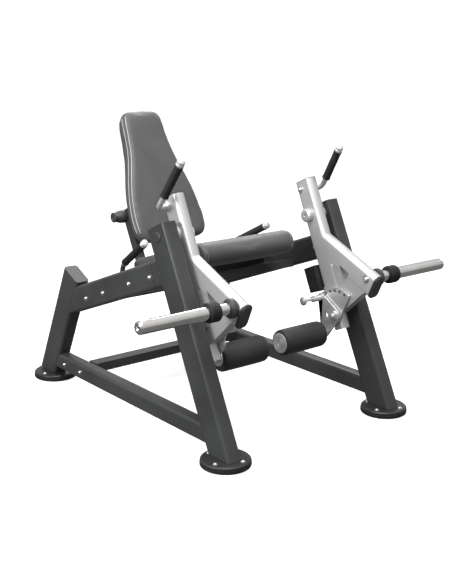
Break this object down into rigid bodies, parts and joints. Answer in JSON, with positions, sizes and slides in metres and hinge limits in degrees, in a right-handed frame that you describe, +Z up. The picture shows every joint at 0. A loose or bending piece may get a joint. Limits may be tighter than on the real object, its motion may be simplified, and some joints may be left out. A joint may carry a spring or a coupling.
{
  "type": "leg extension machine",
  "caption": "Plate-loaded leg extension: low seat, sliding backrest and two independent lever arms, each with a weight horn, push handle and angle-adjustable shin roller.",
  "frame": {"origin": "on the floor, under the centre of the bounding box", "axes": "+Z up, the user faces -Y, +X is the user's left"},
  "size_m": [1.542, 1.41, 1.1725],
  "materials": {
    "frame_paint": "satin dark grey powder coat",
    "arm_paint": "silver grey metallic paint",
    "chrome": "polished",
    "steel": "satin",
    "rubber": "matte black",
    "foam": "matte closed-cell foam skin",
    "vinyl": "grained grey vinyl",
    "cap_plastic": "moulded black plastic"
  },
  "bodies": {
    "frame": {"front_leg_left": "frame_paint", "rear_post_left": "frame_paint", "side_tube_left": "frame_paint", "base_tube_left": "frame_paint", "foot_pad_front_left": "rubber", "foot_pad_rear_left": "rubber", "foot_plate_front_left": "frame_paint", "foot_plate_rear_left": "frame_paint", "pivot_shaft_left": "chrome", "arm_stop_left": "rubber", "seat_handle_left": "frame_paint", "seat_grip_left": "rubber", "seat_rail_left": "frame_paint", "front_leg_right": "frame_paint", "rear_post_right": "frame_paint", "side_tube_right": "frame_paint", "base_tube_right": "frame_paint", "foot_pad_front_right": "rubber", "foot_pad_rear_right": "rubber", "foot_plate_front_right": "frame_paint", "foot_plate_rear_right": "frame_paint", "pivot_shaft_right": "chrome", "arm_stop_right": "rubber", "seat_handle_right": "frame_paint", "seat_grip_right": "rubber", "seat_rail_right": "frame_paint", "seat_cushion": "vinyl", "seat_pan": "frame_paint", "seat_cross_front": "frame_paint", "seat_cross_rear": "frame_paint", "base_cross": "frame_paint"},
    "arm_left": {"lever_arm_left": "arm_paint", "branch_cap_left": "cap_plastic", "arm_handle_left": "steel", "arm_grip_left": "rubber", "horn_boss_left": "cap_plastic", "horn_sleeve_left": "chrome", "horn_collar_left": "rubber", "index_sector_left": "arm_paint"},
    "link_left": {"roller_link_left": "arm_paint"},
    "pin_left": {"pull_pin_left": "chrome"},
    "roller_left": {"roller_core_left": "steel", "roller_foam_left": "foam"},
    "arm_right": {"lever_arm_right": "arm_paint", "branch_cap_right": "cap_plastic", "arm_handle_right": "steel", "arm_grip_right": "rubber", "horn_boss_right": "cap_plastic", "horn_sleeve_right": "chrome", "horn_collar_right": "rubber", "index_sector_right": "arm_paint"},
    "link_right": {"roller_link_right": "arm_paint"},
    "pin_right": {"pull_pin_right": "chrome"},
    "roller_right": {"roller_core_right": "steel", "roller_foam_right": "foam"},
    "back": {"back_cushion": "vinyl", "back_board": "cap_plastic", "back_carriage": "frame_paint"},
    "back_knob": {"back_pin": "cap_plastic"}
  },
  "joints": [
    {"name": "arm_left_swing", "type": "hinge", "parent": "frame", "child": "arm_left", "pos_m": [0.341, -0.243, 0.779], "axis": [-1, 0, 0], "range_deg": [0, 95]},
    {"name": "roller_left_start_angle", "type": "hinge", "parent": "arm_left", "child": "link_left", "pos_m": [0.301, -0.429, 0.391], "axis": [1, 0, 0], "range_deg": [0, 77.5]},
    {"name": "pull_pin_left_slide", "type": "slide", "parent": "link_left", "child": "pin_left", "axis": [-1, 0, 0], "range_m": [0, 0.012], "stiffness_N_per_m": 800},
    {"name": "roller_left_spin", "type": "hinge", "parent": "link_left", "child": "roller_left", "pos_m": [0.16, -0.376, 0.308], "axis": [1, 0, 0], "continuous": true},
    {"name": "arm_right_swing", "type": "hinge", "parent": "frame", "child": "arm_right", "pos_m": [-0.341, -0.243, 0.779], "axis": [-1, 0, 0], "range_deg": [0, 95]},
    {"name": "roller_right_start_angle", "type": "hinge", "parent": "arm_right", "child": "link_right", "pos_m": [-0.301, -0.429, 0.391], "axis": [1, 0, 0], "range_deg": [0, 77.5]},
    {"name": "pull_pin_right_slide", "type": "slide", "parent": "link_right", "child": "pin_right", "axis": [1, 0, 0], "range_m": [0, 0.012], "stiffness_N_per_m": 800},
    {"name": "roller_right_spin", "type": "hinge", "parent": "link_right", "child": "roller_right", "pos_m": [-0.16, -0.376, 0.308], "axis": [1, 0, 0], "continuous": true},
    {"name": "backrest_slide", "type": "slide", "parent": "frame", "child": "back", "axis": [0, 0.9511, -0.309], "range_m": [-0.025, 0.045]},
    {"name": "back_pin_slide", "type": "slide", "parent": "back", "child": "back_knob", "axis": [-1, 0, 0], "range_m": [0, 0.012], "stiffness_N_per_m": 800}
  ]
}
